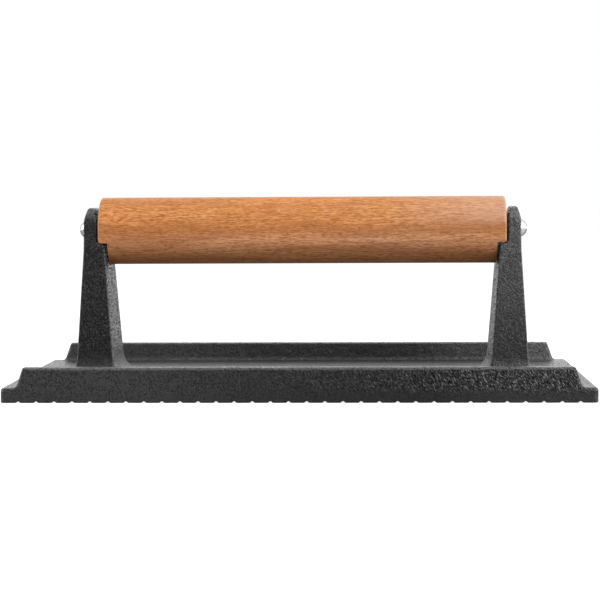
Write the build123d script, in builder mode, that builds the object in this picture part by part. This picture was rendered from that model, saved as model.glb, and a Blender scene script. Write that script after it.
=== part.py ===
from build123d import *
import os

# Cast-iron grill press with a wooden handle, in millimetres.
# The origin is the centre of the underside, on the surface that the ribs rest on.
# +X runs along the handle towards the right-hand post, +Y to the rear rim, +Z up.

# Plate
plate_length = 209.55
plate_width = 107.95
plate_thickness = 5.3
plate_corner_radius = 2.0
upper_edge_radius = 1.2
lower_edge_radius = 0.45

# Ribs across the underside, with a round-bottomed groove between each two
rib_pitch = 6.35
groove_radius = 0.62
groove_depth = 0.6
rib_edge_radius = 0.8

# Raised rims along the two long edges, ending short of the bare lips at both ends
lip_length = 5.58
rim_height = 7.1
rim_end_run = 2.4
rim_side_run = 1.5
rim_top_thickness = 5.0
rim_corner_radius = 1.5
rim_top_edge_radius = 0.8
rim_foot_radius = 2.2

# Posts, cast in one with the plate: a tapered column with an upright ear above a ledge.
# Over the crest height at its top, each ear narrows from its thickness to its top thickness.
post_inset = 20.5
post_sink_depth = 1.0
post_root_thickness = 14.6
post_outer_lean = 2.96
post_root_half_width = 14.97
post_top_half_width = 10.7
post_edge_radius = 0.6
post_foot_radius = 7.0
ledge_length = 3.0
ledge_outer_radius = 1.0
ledge_inner_radius = 1.4
ear_thickness = 4.8
ear_root_drop = 1.5
ear_bend_radius = 40.0
ear_rise = 8.7
ear_top_thickness = 2.4
ear_crest_height = 4.8
ear_crest_radius = 1.15
ear_shoulder_radius = 8.0
ear_corner_radius = 7.0
ear_crown_rise = 0.6

# Handle, a turned bar with a flat cut under each end that sits over the ledge
handle_radius = 12.55
handle_axis_z = 59.2
handle_flat_drop = 4.4
handle_end_clearance = 0.6
handle_ledge_clearance = 0.5
handle_notch_clearance = 1.0
handle_edge_radius = 0.9

# Screws, one through each ear into the handle's end, a little above its middle
screw_rise = 0.5
screw_length = 25.0
screw_shank_radius = 1.75
screw_thread_radius = 1.6
screw_tip_length = 4.0
screw_tip_radius = 0.4
head_radius = 3.3
head_height = 3.05
head_rim_height = 0.5
recess_span = 3.6
recess_width = 0.8
recess_depth = 1.5
recess_taper = 10.0

# Fits of the screws in the ears and in the handle
ear_hole_clearance = 0.25
pilot_clearance = 0.05
pilot_end_clearance = 1.5

# Places that follow from the sizes above
rib_count = round(plate_length / rib_pitch)
rim_top_z = plate_thickness + rim_height
rim_foot_half_length = plate_length / 2 - lip_length
rim_top_half_length = rim_foot_half_length - rim_end_run
tray_top_half_width = plate_width / 2 - rim_top_thickness
tray_floor_half_width = tray_top_half_width - rim_side_run
tray_mid_half_width = (tray_floor_half_width + tray_top_half_width) / 2
post_root_z = plate_thickness - post_sink_depth
post_outer_root_x = plate_length / 2 - post_inset
post_inner_root_x = post_outer_root_x - post_root_thickness
ear_outer_x = post_outer_root_x - post_outer_lean
ear_inner_x = ear_outer_x - ear_thickness
ear_middle_x = (ear_inner_x + ear_outer_x) / 2
ear_top_z = handle_axis_z + ear_rise
ear_crown_z = ear_top_z + ear_crown_rise
ear_shoulder_z = ear_top_z - ear_crest_height
notch_z = handle_axis_z - handle_flat_drop
ledge_z = notch_z - handle_ledge_clearance
ear_root_z = ledge_z - ear_root_drop
ledge_corner_x = ear_inner_x - ledge_length
notch_inner_x = ledge_corner_x - handle_notch_clearance
handle_half_length = ear_inner_x - handle_end_clearance
handle_notch_length = handle_half_length - notch_inner_x
screw_axis_z = handle_axis_z + screw_rise
screw_tip_x = ear_outer_x - screw_length
pilot_bottom_x = screw_tip_x - pilot_end_clearance

# An edge or face counts as lying at a place when its middle is this close to it
place_tolerance = 0.05


def near(value, place):
    return abs(value - place) < place_tolerance


# One post, on the +X side, with its root sunk in the plate
with BuildPart() as post:
    with BuildSketch(Plane.XZ) as post_side_view:
        with BuildLine():
            Polyline(
                (post_inner_root_x, post_root_z),
                (ledge_corner_x, ledge_z),
                (ear_inner_x, ledge_z),
                (ear_inner_x, ear_shoulder_z),
                (ear_middle_x - ear_top_thickness / 2, ear_top_z),
                (ear_middle_x + ear_top_thickness / 2, ear_top_z),
                (ear_outer_x, ear_shoulder_z),
                (ear_outer_x, ear_root_z),
                (post_outer_root_x, post_root_z),
                close=True,
            )
        make_face()
        fillet(vertices().sort_by_distance((ledge_corner_x, ledge_z))[0], ledge_outer_radius)
        fillet(vertices().sort_by_distance((ear_inner_x, ledge_z))[0], ledge_inner_radius)
        fillet(vertices().sort_by_distance((ear_outer_x, ear_root_z))[0], ear_bend_radius)
        for shoulder_x in (ear_inner_x, ear_outer_x):
            fillet(vertices().sort_by_distance((shoulder_x, ear_shoulder_z))[0], ear_shoulder_radius)
        fillet(vertices().group_by(Axis.Y)[-1], ear_crest_radius)
    extrude(amount=plate_width / 2, both=True)
    with BuildSketch(Plane.YZ) as post_end_view:
        with BuildLine():
            Polyline(
                (-post_root_half_width, post_root_z),
                (-post_top_half_width, ear_crown_z),
                (post_top_half_width, ear_crown_z),
                (post_root_half_width, post_root_z),
                close=True,
            )
        make_face()
        fillet(vertices().group_by(Axis.Y)[-1], ear_corner_radius)
    extrude(amount=plate_length, mode=Mode.INTERSECT)
    root_edges = faces().sort_by(Axis.Z)[0].edges()
    fillet(edges() - root_edges - edges().filter_by(Axis.Y), post_edge_radius)

# Plate, ribs, rims and both posts, cast as one piece
with BuildPart() as press_casting:
    with BuildSketch(Plane.XZ) as plate_side_view:
        with BuildLine():
            Polyline(
                (-plate_length / 2, 0),
                (plate_length / 2, 0),
                (plate_length / 2, plate_thickness),
                (rim_foot_half_length, plate_thickness),
                (rim_top_half_length, rim_top_z),
                (-rim_top_half_length, rim_top_z),
                (-rim_foot_half_length, plate_thickness),
                (-plate_length / 2, plate_thickness),
                close=True,
            )
        make_face()
        plate_ends = vertices().group_by(Axis.Y)[0]
        with Locations((0, groove_depth - groove_radius)):
            with GridLocations(rib_pitch, rib_pitch, rib_count - 1, 1):
                Circle(groove_radius, mode=Mode.SUBTRACT)
        fillet(vertices().group_by(Axis.Y)[0] - plate_ends, rib_edge_radius)
    extrude(amount=plate_width / 2, both=True)

    # The open tray between the rims
    with BuildSketch(Plane.YZ) as tray_section:
        with BuildLine():
            Polyline(
                (-tray_floor_half_width, plate_thickness),
                (tray_floor_half_width, plate_thickness),
                (tray_top_half_width, rim_top_z),
                (-tray_top_half_width, rim_top_z),
                close=True,
            )
        make_face()
    extrude(amount=plate_length, both=True, mode=Mode.SUBTRACT)

    # The rims' inner corners, then their top edges, then the coves around their feet
    fillet(edges().filter_by(lambda e: near(abs(e.center().Y), tray_mid_half_width)
                             and abs(e.center().X) > rim_top_half_length),
           rim_corner_radius)
    rim_tops = faces().filter_by(lambda f: near(f.center().Z, rim_top_z))
    fillet(rim_tops.edges().filter_by(lambda e: not near(abs(e.center().Y), plate_width / 2)),
           rim_top_edge_radius)
    tray_floor = faces().filter_by(lambda f: near(f.center().Z, plate_thickness)).sort_by(SortBy.AREA)[-1]
    fillet(tray_floor.edges().filter_by(lambda e: not near(abs(e.center().Y), plate_width / 2)
                                        and abs(e.center().X) < rim_foot_half_length + place_tolerance),
           rim_foot_radius)

    # The plate's four corners, then the outline of its long faces, above and below
    fillet(edges().filter_by(Axis.Z).filter_by(lambda e: near(abs(e.center().X), plate_length / 2)),
           plate_corner_radius)
    outline = faces().filter_by(lambda f: near(abs(f.center().Y), plate_width / 2)).edges()
    fillet(outline.filter_by(lambda e: e.center().Z > plate_thickness - place_tolerance),
           upper_edge_radius)
    fillet(outline.filter_by(lambda e: e.center().Z < groove_depth), lower_edge_radius)

    add(post.part)
    mirror(post.part, about=Plane.YZ)
    post_feet = edges().filter_by(lambda e: near(e.center().Z, plate_thickness)
                                  and abs(e.center().X) < post_outer_root_x
                                  and abs(e.center().Y) < post_root_half_width)
    fillet(post_feet, post_foot_radius)

    # A clearance hole for the screw through each ear
    for side in (-1, 1):
        with Locations(Plane(origin=(side * ear_outer_x, 0, screw_axis_z), z_dir=(side, 0, 0))):
            Hole(radius=screw_shank_radius + ear_hole_clearance, depth=ear_outer_x)

# Handle, turned along X
with BuildPart() as handle:
    with BuildSketch(Plane.YZ):
        with Locations((0, handle_axis_z)):
            Circle(handle_radius)
    extrude(amount=handle_half_length, both=True)
    with BuildSketch(Plane.XZ):
        for side in (-1, 1):
            with Locations((side * handle_half_length, notch_z)):
                Rectangle(2 * handle_notch_length, 2 * handle_radius, align=(Align.CENTER, Align.MAX))
    extrude(amount=handle_radius, both=True, mode=Mode.SUBTRACT)
    fillet(faces().filter_by(lambda f: near(abs(f.center().X), handle_half_length)).edges(),
           handle_edge_radius)
    for side in (-1, 1):
        with Locations(Plane(origin=(side * handle_half_length, 0, screw_axis_z), z_dir=(side, 0, 0))):
            Hole(radius=screw_thread_radius + pilot_clearance, depth=handle_half_length - pilot_bottom_x)

# Round-head screw in the right-hand ear, with a cross recess in its head
with BuildPart() as right_screw:
    with BuildSketch(Plane.XZ):
        with BuildLine():
            Polyline(
                (ear_outer_x + head_height, screw_axis_z),
                (screw_tip_x, screw_axis_z),
                (screw_tip_x, screw_axis_z + screw_tip_radius),
                (screw_tip_x + screw_tip_length, screw_axis_z + screw_thread_radius),
                (ear_inner_x, screw_axis_z + screw_thread_radius),
                (ear_inner_x, screw_axis_z + screw_shank_radius),
                (ear_outer_x, screw_axis_z + screw_shank_radius),
                (ear_outer_x, screw_axis_z + head_radius),
                (ear_outer_x + head_rim_height, screw_axis_z + head_radius),
            )
            TangentArc(
                (ear_outer_x + head_height, screw_axis_z),
                (ear_outer_x + head_rim_height, screw_axis_z + head_radius),
                tangent=(0, 1),
            )
        make_face()
    revolve(axis=Axis((0, 0, screw_axis_z), (1, 0, 0)))
    with BuildSketch(Plane(origin=(ear_outer_x + head_height, 0, screw_axis_z), z_dir=(1, 0, 0))):
        Rectangle(recess_span, recess_width)
        Rectangle(recess_width, recess_span)
    extrude(amount=-recess_depth, taper=recess_taper, mode=Mode.SUBTRACT)

with BuildPart() as left_screw:
    mirror(right_screw.part, about=Plane.YZ)

press_casting.part.label = "press_casting"
handle.part.label = "handle"
right_screw.part.label = "right_screw"
left_screw.part.label = "left_screw"

os.makedirs("parts", exist_ok=True)
export_step(press_casting.part, "parts/press_casting.step")
export_step(handle.part, "parts/handle.step")
export_step(right_screw.part, "parts/right_screw.step")
export_step(left_screw.part, "parts/left_screw.step")
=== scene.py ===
import math

import bpy
from mathutils import Matrix, Vector

# Looks for the cast-iron grill press, in metres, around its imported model.
# +X runs along the handle to the right-hand post, +Y to the rear rim, +Z up.

MM = 0.001

# The camera stands in front of the press, a little to the right and just over the handle.
# Its angles are in radians, its lens and sensor in millimetres and its reach in metres.
CAMERA_PLACE = Vector((25.77, -675.80, 73.91)) * MM
CAMERA_YAW = 0.03974
CAMERA_DIP = 0.06074
CAMERA_ROLL = -0.00517
CAMERA_LENS = 107.51
SENSOR_WIDTH = 36.0
CAMERA_REACH = (0.01, 100)

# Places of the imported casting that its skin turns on
PLATE_TOP = 5.3 * MM
RIM_TOP = 12.4 * MM
POST_MIDDLE = 78.0 * MM
RIM_INNER_Y = -49.0 * MM
RIM_OUTER_Y = -53.5 * MM

# Iron: its noises, each as features per metre, detail and roughness
GRIT = (3100, 1, 0.5)
FLECK = (2150, 2, 0.55)
PEBBLE = (1500, 3, 0.6)
LUMP = (330, 2, 0.5)
PATCH = (45, 3, 0.5)
FLECK_STRETCH = (0.45, 1, 1)
FLECK_SLANT = (0, math.radians(-50), 0)
GRAIN_ALONG_Y = 0.7             # the grain's features per metre along Y, as a share of those along X and Z
INNER_GRAIN_ALONG_Y = 0.2       # the same on the posts' inner sides

# Iron: runs over which a change of its skin comes in, from none of it to all of it
FLECKED_X = (-60 * MM, 50 * MM)
EDGE_TO_RIM_Z = (0.2 * PLATE_TOP, PLATE_TOP)
# The painted shade in the front rim's middle comes in over these runs
DULL_START_X = (-55 * MM, -20 * MM)
DULL_END_X = (75 * MM, 45 * MM)
# The left post's painted shade comes in over these runs
LEFT_POST_X = (-60 * MM, -70 * MM)
LEFT_POST_Z = (RIM_TOP, RIM_TOP + 3 * MM)
# The right post's painted light comes in over these runs
RIGHT_POST_X = (60 * MM, 70 * MM)
RIGHT_POST_Z = (15 * MM, 70 * MM)
# The rear rim's painted light near its ends lies over these runs
REAR_RIM_Y = (42 * MM, 48 * MM)
REAR_LEFT_X = (-20 * MM, -50 * MM)
REAR_RIGHT_X = (75 * MM, 85 * MM)
EDGE_HIGHLIGHT_FROM_Z = RIM_TOP - 1.0 * MM
FACING_ALONG = 0.7              # a face whose normal has a larger X than this looks along the handle

# Iron: its greys, as (noise, grey) stops or one colour
SKIN = [(0.35, 0.008), (0.55, 0.015), (0.68, 0.04)]
# Coarse grain whose brightest fleck tops are partly painted glints
FLECKED_SKIN_AND_GLINTS = [(0.42, 0.002), (0.53, 0.006), (0.6, 0.035), (0.68, 0.18)]
# Painted sheen: the fine grain's lighter base on the front rim's left
FINE_SHEEN_SKIN = [(0.42, 0.006), (0.5, 0.024), (0.58, 0.07)]
# Painted shade: the left post's darker base, with brighter grain tops
LEFT_POST_SHADED_SKIN = [(0.45, 0.001), (0.53, 0.007), (0.61, 0.06)]
INNER_SKIN = [(0.42, 0.006), (0.5, 0.018), (0.58, 0.045)]
# Painted light: the pale skin of the right post's upper part and of the rear rim's ends
PAINTED_LIGHT_SKIN = [(0.4, 0.05), (0.6, 0.15)]
# Painted shade: the near-black middle of the front rim
DULL_SHADE_SKIN = (0.003, 0.003, 0.003, 1)
# Painted highlight: the lighter grey of the raised parts' edges
EDGE_HIGHLIGHT_SKIN = (0.09, 0.09, 0.09, 1)

# Iron: how much of each skin shows, and how its gloss and relief follow the grain
COARSE_BY_PATCH = [(0.3, 0.85), (0.5, 1.0)]
HIGHLIGHT_BY_TURN = [(0.22, 0.0), (0.42, 1.0)]
HIGHLIGHT_BY_PEBBLE = [(0.4, 0.2), (0.6, 0.9)]
CREST_SHARE = 0.8
GRIT_SHARE = 0.3
FINE_GRIT_SHARE = 0.55
EDGE_CALM_SHARE = 0.5
CALM_SPECK = 0.53
FINE_SHEEN_SHARE = 0.8
# Shares of the painted shade in the front rim's middle, at its left and at its right
DULL_LEFT_SHARE = 0.05
DULL_RIGHT_SHARE = 0.5
RIGHT_POST_LIGHT_SHARE = 0.45
REAR_LEFT_LIGHT_SHARE = 0.22
REAR_RIGHT_LIGHT_SHARE = 0.35
DULL_GLOSS_SHARE = 0.2
LEFT_POST_GLOSS_SHARE = 0.15
GLOSS = [(0.4, 0.5), (0.5, 0.85), (0.58, 1.0)]
FLECKED_GLOSS = [(0.4, 0.15), (0.5, 0.7), (0.58, 1.0)]
IRON_ROUGHNESS = [(0.44, 0.6), (0.56, 0.2)]
PATCH_ROUGHNESS = 0.1
IRON_SPECULAR = 0.5
SKIN_RELIEF = 0.7
FLECKED_RELIEF = 0.9
LUMP_RELIEF = 0.9
GRIT_RELIEF = 0.3
IRON_BUMP = (0.9, 0.5 * MM)     # strength and distance

# Beech: its noises, each as features per metre, detail and roughness, and how each is drawn out along
# the handle
WANDER, WANDER_STRETCH = (30, 2, 0.5), (0.4, 1, 1)
SHORT_STREAK, SHORT_STRETCH = (2400, 3, 0.6), (0.22, 1, 1)
LONG_STREAK, LONG_STRETCH = (2000, 2, 0.6), (0.06, 1, 1)
BROAD_STREAK, BROAD_STRETCH = (190, 3, 0.6), (0.1, 1, 1)
SPOT, SPOT_STRETCH = (2400, 1, 0.4), (0.13, 1, 1)
SPOT_SHIFT = (0.3, 0.2, 0.1)    # keeps the spots apart from the streaks, which have the same scale
PORE = (2600, 2, 0.5)
WANDER_HEIGHT = 12 * MM
LONG_SHARE = 0.4

# Beech: its growth rings, which run round the pith
RING_WAVES = {"Scale": 150, "Distortion": 1.6, "Detail": 2.0, "Detail Scale": 1.5}
PITH_PLACE = (0, -6 * MM, 30 * MM)

# Beech: runs along the handle over which a change of its colour comes in
LEFT_END_X = (-30 * MM, -70 * MM)
COOL_HALF_X = (0, 30 * MM)
RIGHT_END_X = (30 * MM, 78 * MM)
# The painted highlight on the end's edges lies between these insets from the end
END_HIGHLIGHT_INSETS = (0.8 * MM, 0.3 * MM)
END_HIGHLIGHT_SHARE = 0.5
END_FACE_INSET = 0.05 * MM

# Beech: its colours. The bands lie one over the other, from the handle's underside to its top, and paint
# light and shade over the wood's own tone, lightest a little below the middle.
SHADED_BANDS = [
    (0.15, (0.54, 0.225, 0.1, 1)), (0.38, (0.72, 0.33, 0.16, 1)), (0.5, (0.53, 0.2, 0.068, 1)),
    (0.62, (0.52, 0.195, 0.052, 1)), (0.85, (0.52, 0.2, 0.053, 1)),
]
DARK_STREAK_TINT = (0.6, 0.48, 0.38, 1)
PALE_STREAK = (0.82, 0.47, 0.22, 1)
PALE_STREAK_SHARE = 0.35
BROAD_STREAK_COLOR = (0.36, 0.135, 0.045, 1)
# A painted highlight on the right of the top, and painted shade on the underside at the right
RIGHT_TOP_HIGHLIGHT = (0.46, 0.28, 0.19, 1)
RIGHT_TOP_HIGHLIGHT_SHARE = 0.65
RIGHT_UNDERSIDE_SHADE = (0.85, 0.8, 0.72, 1)
LEFT_END_TINT = (1.08, 1.08, 1.1, 1)
COOL_HALF_TINT = (0.91, 0.95, 1.02, 1)
SPOT_COLOR = (0.25, 0.08, 0.027, 1)
# The pale end edge is a painted highlight
END_EDGE_HIGHLIGHT = (0.7, 0.47, 0.32, 1)
EARLY_RING = (0.5, 0.27, 0.145, 1)
LATE_RING = (0.36, 0.165, 0.075, 1)
PORE_COLOR = (0.22, 0.09, 0.04, 1)

# Beech: how much of each colour shows by its noise or height, and its gloss and relief
DARK_BY_STREAK = [(0.4, 1.0), (0.49, 0.0)]
PALE_BY_STREAK = [(0.51, 0.0), (0.6, 1.0)]
BROAD_BY_NOISE = [(0.45, 0.0), (0.6, 0.45)]
SPOT_BY_NOISE = [(0.56, 0.0), (0.66, 0.55)]
PORE_BY_NOISE = [(0.42, 1.0), (0.52, 0.0)]
LATE_BY_WAVE = [(0.2, 0.0), (0.9, 1.0)]
UPPER_BY_HEIGHT = [(0.5, 0.0), (0.66, 1.0)]
BEECH_ROUGHNESS = [(0.3, 0.6), (0.7, 0.5)]
BEECH_SPECULAR = 0.18
SPOT_RELIEF = 0.5
BEECH_BUMP = (0.25, 0.12 * MM)  # strength and distance

# Steel: its one noise, as features per metre, detail and roughness, and its colours and gloss
SMEAR = (500, 3, 0.5)
STEEL = (0.66, 0.67, 0.69, 1)
# The steel's edge tint is nearly black, a painted dark reflection at the rim of each head
STEEL_DARK_EDGE_REFLECTION = (0.05, 0.05, 0.06, 1)
STEEL_ROUGHNESS = [(0.3, 0.2), (0.7, 0.3)]

# The stage: one white floor under a white sky
FLOOR_SIZE = 8.0
FLOOR_COLOR = (0.5, 0.5, 0.5, 1)
FLOOR_GLOW = 0.8
SKY_LIGHT = 0.42
SKY_FRONT = 0.28                # in reflections, towards -Y
SKY_BACK = 1.9                  # in reflections, towards +Y
SKY_TURN = (-0.5, 0.5)          # the run of a ray's Y over which the one turns into the other
WHITE = (1, 1, 1, 1)
BLACK = (0, 0, 0, 1)

# The softboxes: name, place, what it points at, width, height and power in watts
SOFTBOXES = [
    ("top", (0.15, -0.25, 0.9), (0, 0, 0.03), 0.9, 0.6, 4),
    ("front", (0.8, -0.65, 0.35), (0, 0, 0.03), 0.6, 0.5, 5),
    ("near", (0.3, -0.22, 0.3), (0.08, 0, 0.05), 0.16, 0.16, 0.8),
    ("right", (0.9, 0.08, 0.3), (0, 0, 0.03), 0.4, 0.5, 3.5),
    ("left", (-0.9, 0.0, 0.3), (0, 0, 0.03), 0.4, 0.5, 3),
]

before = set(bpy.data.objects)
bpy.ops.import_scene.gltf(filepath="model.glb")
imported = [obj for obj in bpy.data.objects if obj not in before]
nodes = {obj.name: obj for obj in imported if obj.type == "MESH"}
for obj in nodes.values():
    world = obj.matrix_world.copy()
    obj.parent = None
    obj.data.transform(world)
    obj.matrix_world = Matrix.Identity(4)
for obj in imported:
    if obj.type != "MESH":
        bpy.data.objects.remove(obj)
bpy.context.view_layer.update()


# Small helpers for node trees

class Tree:
    """Adds and links the nodes of one tree."""

    def __init__(self, tree):
        self.tree = tree
        tree.nodes.clear()

    def feed(self, socket, value):
        """Links another node's socket to this one, or sets it to a number or a colour."""
        if isinstance(value, bpy.types.NodeSocket):
            self.tree.links.new(value, socket)
        else:
            socket.default_value = value

    def add(self, kind, inputs=None, **settings):
        """One node, whose inputs are given by name or index."""
        node = self.tree.nodes.new(kind)
        for key, value in settings.items():
            setattr(node, key, value)
        for key, value in (inputs or {}).items():
            self.feed(node.inputs[key], value)
        return node

    def object_place(self):
        return self.add("ShaderNodeTexCoord").outputs["Object"]

    def split(self, vector):
        parts = self.add("ShaderNodeSeparateXYZ", {0: vector}).outputs
        return [parts[axis] for axis in "XYZ"]

    def math(self, operation, a, b=0.0, c=0.0):
        return self.add("ShaderNodeMath", {0: a, 1: b, 2: c}, operation=operation).outputs[0]

    def product(self, first, *others):
        for other in others:
            first = self.math("MULTIPLY", first, other)
        return first

    def rest(self, share):
        return self.math("SUBTRACT", 1.0, share)

    def blend(self, factor, a, b):
        """Number a where the factor is 0, number b where it is 1."""
        return self.math("MULTIPLY_ADD", self.math("SUBTRACT", b, a), factor, a)

    def ramp(self, factor, stops):
        """A colour ramp through (position, colour) stops. A single number makes a grey."""
        node = self.add("ShaderNodeValToRGB", {"Fac": factor})
        elements = node.color_ramp.elements
        while len(elements) < len(stops):
            elements.new(1.0)
        for element, (place, color) in zip(elements, stops):
            element.position = place
            element.color = color if isinstance(color, tuple) else (color, color, color, 1)
        return node.outputs["Color"]

    def mix(self, factor, a, b, blend="MIX"):
        """Colour a where the factor is 0, colour b where it is 1. With MULTIPLY, b tints a instead."""
        node = self.add("ShaderNodeMix", data_type="RGBA", blend_type=blend)
        for index, value in ((0, factor), (6, a), (7, b)):
            self.feed(node.inputs[index], value)
        return node.outputs[2]

    def noise(self, vector, scale, detail, roughness):
        """Noise from 0 to 1, whose scale is in features per metre."""
        return self.add("ShaderNodeTexNoise", {
            "Vector": vector, "Scale": scale, "Detail": detail, "Roughness": roughness,
        }).outputs["Fac"]

    def span(self, value, start, end):
        """0 up to the start, 1 from the end on and in proportion between them."""
        return self.add("ShaderNodeMapRange", {
            "Value": value, "From Min": start, "From Max": end, "To Min": 0.0, "To Max": 1.0,
        }).outputs["Result"]

    def place(self, vector, scale=(1, 1, 1), rotation=(0, 0, 0), location=(0, 0, 0)):
        return self.add("ShaderNodeMapping", {
            "Vector": vector, "Scale": scale, "Rotation": rotation, "Location": location,
        }).outputs["Vector"]

    def bump(self, height, strength, distance):
        return self.add("ShaderNodeBump", {
            "Height": height, "Strength": strength, "Distance": distance,
        }).outputs["Normal"]

    def surface(self, inputs):
        shader = self.add("ShaderNodeBsdfPrincipled", inputs)
        self.add("ShaderNodeOutputMaterial", {"Surface": shader.outputs["BSDF"]})


def new_material(name):
    material = bpy.data.materials.new(name)
    material.use_nodes = True
    return material, Tree(material.node_tree)


def dress(piece, material):
    piece.data.materials.clear()
    piece.data.materials.append(material)


# Cast iron: a black sand-cast skin. The front rim turns from a fine grain on a lighter base, a painted
# sheen, at its left to bright coarse flecks at its right, whose bright tops are partly painted glints, and
# is darker in its middle with painted shade; the plate's own edge below it is calmer. The right post pales
# towards its top with painted light, the left one is darker with painted shade, and the rear rim is paler
# near its ends with painted light. The raised parts' edges are painted lighter as edge highlights.

def cast_iron():
    material, tree = new_material("cast_iron")
    place = tree.object_place()
    x, y, z = tree.split(place)

    # Where on the casting: 0 away from each place and 1, or its share, on it
    between_posts = tree.math("LESS_THAN", tree.math("ABSOLUTE", x), POST_MIDDLE)
    inner_side = tree.product(between_posts, tree.math("GREATER_THAN", z, RIM_TOP))
    rightward = tree.span(x, *FLECKED_X)
    frontward = tree.span(y, RIM_INNER_Y, RIM_OUTER_Y)
    front_rim = tree.product(frontward, tree.span(z, *EDGE_TO_RIM_Z))
    plate_edge = tree.math("SUBTRACT", frontward, front_rim)
    # Painted shade in the front rim's middle
    dull = tree.product(frontward, tree.span(x, *DULL_START_X), tree.span(x, *DULL_END_X))
    # Painted shade on the left post above the rim
    left_post_shade = tree.product(tree.span(z, *LEFT_POST_Z), tree.span(x, *LEFT_POST_X))
    # Painted light on the right post, growing towards its top
    right_post_light = tree.product(tree.span(x, *RIGHT_POST_X), tree.span(z, *RIGHT_POST_Z))
    # Painted light near the rear rim's ends
    rear_left_light = tree.product(tree.span(x, *REAR_LEFT_X), REAR_LEFT_LIGHT_SHARE)
    rear_right_light = tree.product(tree.span(x, *REAR_RIGHT_X), REAR_RIGHT_LIGHT_SHARE)
    rear_rim_light = tree.product(tree.span(y, *REAR_RIM_Y), tree.math("ADD", rear_left_light, rear_right_light))

    # Grain
    drawn_y = tree.product(y, tree.blend(inner_side, GRAIN_ALONG_Y, INNER_GRAIN_ALONG_Y))
    drawn_out = tree.add("ShaderNodeCombineXYZ", {"X": x, "Y": drawn_y, "Z": z}).outputs[0]
    grit = tree.noise(drawn_out, *GRIT)
    pebble = tree.noise(drawn_out, *PEBBLE)
    lump = tree.noise(place, *LUMP)
    patch = tree.noise(place, *PATCH)
    slanted = tree.place(tree.place(drawn_out, rotation=FLECK_SLANT), scale=FLECK_STRETCH)
    fleck = tree.noise(slanted, *FLECK)
    coarse = tree.product(front_rim, rightward, tree.ramp(patch, COARSE_BY_PATCH))
    speck = tree.blend(coarse, pebble, fleck)
    speck = tree.blend(tree.product(plate_edge, EDGE_CALM_SHARE), speck, CALM_SPECK)
    grain = tree.blend(GRIT_SHARE, speck, grit)
    finer = tree.blend(FINE_GRIT_SHARE, speck, grit)

    # Greys
    # The coarse flecks' bright tops are partly painted glints
    color = tree.mix(coarse, tree.ramp(speck, SKIN), tree.ramp(speck, FLECKED_SKIN_AND_GLINTS))
    # Painted sheen: a lighter, finer grain on the front rim's left
    fine_and_sheen = tree.product(frontward, tree.rest(rightward), FINE_SHEEN_SHARE)
    color = tree.mix(fine_and_sheen, color, tree.ramp(finer, FINE_SHEEN_SKIN))
    # Painted shade: the front rim's middle turns nearly black, more so towards the right
    dull_shade = tree.product(dull, tree.blend(rightward, DULL_LEFT_SHARE, DULL_RIGHT_SHARE))
    color = tree.mix(dull_shade, color, DULL_SHADE_SKIN)
    # Painted shade on the left post
    color = tree.mix(left_post_shade, color, tree.ramp(finer, LEFT_POST_SHADED_SKIN))
    # Painted light: the right post's upper part and the rear rim's ends take the pale skin
    pale = tree.ramp(speck, PAINTED_LIGHT_SKIN)
    color = tree.mix(tree.product(right_post_light, RIGHT_POST_LIGHT_SHARE), color, pale)
    color = tree.mix(rear_rim_light, color, pale)
    facing = tree.split(tree.add("ShaderNodeNewGeometry").outputs["Normal"])
    along, across, upward = [tree.math("ABSOLUTE", part) for part in facing]
    inner_face = tree.product(inner_side, tree.math("GREATER_THAN", along, FACING_ALONG))
    color = tree.mix(inner_face, color, tree.ramp(pebble, INNER_SKIN))

    # Painted edge highlights: lighter grey where the surface turns from one of its main directions to
    # another
    crest = tree.product(tree.math("MAXIMUM", along, across), upward, CREST_SHARE)
    turned = tree.math("MAXIMUM", tree.product(along, across), crest)
    turned = tree.product(turned, tree.math("GREATER_THAN", z, EDGE_HIGHLIGHT_FROM_Z))
    edge_highlight = tree.product(tree.ramp(turned, HIGHLIGHT_BY_TURN), tree.ramp(pebble, HIGHLIGHT_BY_PEBBLE))
    color = tree.mix(edge_highlight, color, EDGE_HIGHLIGHT_SKIN)

    # Gloss and relief
    gloss = tree.mix(coarse, tree.ramp(grain, GLOSS), tree.ramp(grain, FLECKED_GLOSS))
    matt = tree.math("MULTIPLY_ADD", dull, DULL_GLOSS_SHARE, tree.product(left_post_shade, LEFT_POST_GLOSS_SHARE))
    gloss = tree.mix(matt, gloss, BLACK)
    roughness = tree.math("MULTIPLY_ADD", patch, PATCH_ROUGHNESS, tree.ramp(grain, IRON_ROUGHNESS))
    relief = tree.math("MULTIPLY_ADD", coarse, FLECKED_RELIEF, SKIN_RELIEF)
    height = tree.math("MULTIPLY_ADD", speck, relief, tree.product(grit, GRIT_RELIEF))
    height = tree.math("MULTIPLY_ADD", lump, LUMP_RELIEF, height)
    tree.surface({
        "Base Color": color, "Roughness": roughness, "Normal": tree.bump(height, *IRON_BUMP),
        "Specular IOR Level": IRON_SPECULAR, "Specular Tint": gloss,
    })
    return material


# Beech: dense streaks along the handle over wider bands, a dark spot here and there, a painted highlight on
# the left end's edges, and growth rings and pores on its end faces. Light and shade are painted into its
# height bands, and it pales at the right of its top with a painted highlight and darkens below that with
# painted shade.

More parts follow.
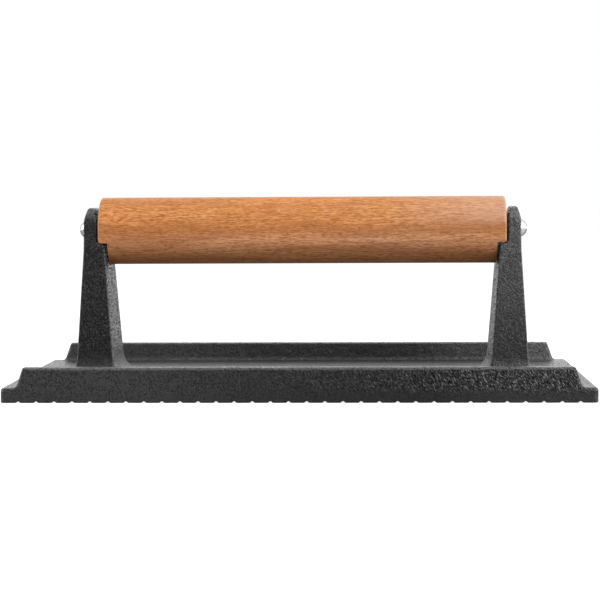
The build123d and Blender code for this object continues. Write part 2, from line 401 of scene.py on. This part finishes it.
def beech(handle):
    material, tree = new_material("beech")
    place = tree.object_place()
    wander = tree.noise(tree.place(place, scale=WANDER_STRETCH), *WANDER)
    drift = tree.math("MULTIPLY_ADD", wander, WANDER_HEIGHT, -WANDER_HEIGHT / 2)
    lift = tree.add("ShaderNodeCombineXYZ", {"Z": drift}).outputs[0]
    bent = tree.add("ShaderNodeVectorMath", {0: place, 1: lift}, operation="ADD").outputs[0]
    short = tree.noise(tree.place(bent, scale=SHORT_STRETCH), *SHORT_STREAK)
    long = tree.noise(tree.place(bent, scale=LONG_STRETCH), *LONG_STREAK)
    streak = tree.blend(LONG_SHARE, short, long)
    broad = tree.noise(tree.place(bent, scale=BROAD_STRETCH), *BROAD_STREAK)
    spot = tree.noise(tree.place(bent, scale=SPOT_STRETCH, location=SPOT_SHIFT), *SPOT)
    pore = tree.noise(place, *PORE)
    from_pith = tree.place(place, location=[-part for part in PITH_PLACE])
    ring = tree.add("ShaderNodeTexWave", {"Vector": from_pith, **RING_WAVES},
                    wave_type="RINGS", rings_direction="X").outputs["Fac"]

    # Where on the handle, whose box is in the same space as its object places
    lowest, highest = handle.bound_box[0], handle.bound_box[6]
    end = highest[0]
    x, _, z = tree.split(bent)
    across = tree.span(z, lowest[2], highest[2])
    upper = tree.ramp(across, UPPER_BY_HEIGHT)
    rightward = tree.span(x, *RIGHT_END_X)
    outward = tree.math("ABSOLUTE", x)
    # Painted highlight along the left end's edges
    end_edge_highlight = tree.span(outward, *[end - inset for inset in END_HIGHLIGHT_INSETS])
    end_edge_highlight = tree.product(end_edge_highlight, tree.rest(rightward), END_HIGHLIGHT_SHARE)
    end_face = tree.math("GREATER_THAN", outward, end - END_FACE_INSET)

    # Height bands with painted light and shade, and streaks
    shaded_band = tree.ramp(across, SHADED_BANDS)
    dark = tree.mix(1.0, shaded_band, DARK_STREAK_TINT, "MULTIPLY")
    pale = tree.mix(PALE_STREAK_SHARE, shaded_band, PALE_STREAK)
    color = tree.mix(tree.ramp(streak, DARK_BY_STREAK), shaded_band, dark)
    color = tree.mix(tree.ramp(streak, PALE_BY_STREAK), color, pale)
    color = tree.mix(tree.ramp(broad, BROAD_BY_NOISE), color, BROAD_STREAK_COLOR)

    # Changes along the handle
    # Painted highlight at the right of the top, painted shade under it
    color = tree.mix(tree.product(rightward, upper, RIGHT_TOP_HIGHLIGHT_SHARE), color, RIGHT_TOP_HIGHLIGHT)
    lower_right_shade = tree.product(rightward, tree.rest(upper))
    color = tree.mix(lower_right_shade, color, RIGHT_UNDERSIDE_SHADE, "MULTIPLY")
    color = tree.mix(tree.span(x, *LEFT_END_X), color, LEFT_END_TINT, "MULTIPLY")
    color = tree.mix(tree.span(x, *COOL_HALF_X), color, COOL_HALF_TINT, "MULTIPLY")

    # Spots, the painted highlight on the left end's edges, and the end grain
    color = tree.mix(tree.ramp(spot, SPOT_BY_NOISE), color, SPOT_COLOR)
    color = tree.mix(end_edge_highlight, color, END_EDGE_HIGHLIGHT)
    end_grain = tree.mix(tree.ramp(ring, LATE_BY_WAVE), EARLY_RING, LATE_RING)
    end_grain = tree.mix(tree.ramp(pore, PORE_BY_NOISE), end_grain, PORE_COLOR)
    color = tree.mix(end_face, color, end_grain)

    height = tree.math("SUBTRACT", streak, tree.product(spot, SPOT_RELIEF))
    tree.surface({
        "Base Color": color, "Roughness": tree.ramp(streak, BEECH_ROUGHNESS),
        "Normal": tree.bump(height, *BEECH_BUMP), "Specular IOR Level": BEECH_SPECULAR,
    })
    return material


# Bright plated steel of the screws, faintly smeared, its grazing edges tinted nearly black as a painted
# dark reflection

def plated_steel():
    material, tree = new_material("plated_steel")
    smear = tree.noise(tree.object_place(), *SMEAR)
    tree.surface({
        "Base Color": STEEL, "Metallic": 1.0, "Roughness": tree.ramp(smear, STEEL_ROUGHNESS),
        "Specular Tint": STEEL_DARK_EDGE_REFLECTION,
    })
    return material


dress(nodes["press_casting"], cast_iron())
dress(nodes["handle"], beech(nodes["handle"]))
steel = plated_steel()
for screw in ("left_screw", "right_screw"):
    dress(nodes[screw], steel)


# The stage and the light

def white_floor():
    """A white floor whose own glow, seen only by the camera, keeps its shadows pale."""
    bpy.ops.mesh.primitive_plane_add(size=FLOOR_SIZE)
    floor = bpy.context.object
    floor.name = "floor"
    material, tree = new_material("floor")
    matt = tree.add("ShaderNodeBsdfDiffuse", {"Color": FLOOR_COLOR})
    glow = tree.add("ShaderNodeEmission", {"Color": WHITE, "Strength": FLOOR_GLOW})
    seen = tree.add("ShaderNodeLightPath").outputs["Is Camera Ray"]
    none = tree.add("ShaderNodeEmission", {"Strength": 0.0})
    shown = tree.add("ShaderNodeMixShader", {0: seen, 1: none.outputs[0], 2: glow.outputs[0]})
    both = tree.add("ShaderNodeAddShader", {0: matt.outputs[0], 1: shown.outputs[0]})
    tree.add("ShaderNodeOutputMaterial", {"Surface": both.outputs[0]})
    dress(floor, material)


def white_sky():
    """Soft light from all round. In reflections it is bright behind the press and dim in front of it,
    and the camera sees it white."""
    world = bpy.data.worlds.new("studio")
    world.use_nodes = True
    bpy.context.scene.world = world
    tree = Tree(world.node_tree)
    path = tree.add("ShaderNodeLightPath")
    heading = tree.split(tree.add("ShaderNodeTexCoord").outputs["Generated"])[1]
    depth = tree.add("ShaderNodeMapRange", {
        "Value": heading, "From Min": SKY_TURN[0], "From Max": SKY_TURN[1],
        "To Min": SKY_FRONT, "To Max": SKY_BACK,
    }).outputs["Result"]
    mirrored = tree.blend(path.outputs["Is Glossy Ray"], SKY_LIGHT, depth)
    strength = tree.math("MAXIMUM", mirrored, path.outputs["Is Camera Ray"])
    sky = tree.add("ShaderNodeBackground", {"Color": WHITE, "Strength": strength})
    tree.add("ShaderNodeOutputWorld", {"Surface": sky.outputs[0]})


def softbox(name, place, target, width, height, power):
    light = bpy.data.lights.new(name, "AREA")
    light.shape = "RECTANGLE"
    light.size = width
    light.size_y = height
    light.energy = power
    lamp = bpy.data.objects.new(name, light)
    bpy.context.scene.collection.objects.link(lamp)
    lamp.location = place
    lamp.rotation_euler = (Vector(target) - Vector(place)).to_track_quat("-Z", "Y").to_euler()


def camera():
    data = bpy.data.cameras.new("camera")
    data.sensor_width = SENSOR_WIDTH
    data.lens = CAMERA_LENS
    data.clip_start, data.clip_end = CAMERA_REACH
    right = Vector((math.cos(CAMERA_YAW), math.sin(CAMERA_YAW), 0))
    ahead = Vector((-math.sin(CAMERA_YAW), math.cos(CAMERA_YAW), 0))
    up = Vector((0, 0, 1))
    view = ahead * math.cos(CAMERA_DIP) - up * math.sin(CAMERA_DIP)
    top = up * math.cos(CAMERA_DIP) + ahead * math.sin(CAMERA_DIP)
    side = right * math.cos(CAMERA_ROLL) + top * math.sin(CAMERA_ROLL)
    top = top * math.cos(CAMERA_ROLL) - right * math.sin(CAMERA_ROLL)
    shot = bpy.data.objects.new("camera", data)
    turn = Matrix((side, top, -view)).transposed().to_4x4()
    shot.matrix_world = Matrix.Translation(CAMERA_PLACE) @ turn
    bpy.context.scene.collection.objects.link(shot)
    bpy.context.scene.camera = shot


camera()
white_floor()
white_sky()
for box in SOFTBOXES:
    softbox(*box)
bpy.context.scene.view_settings.view_transform = "Standard"
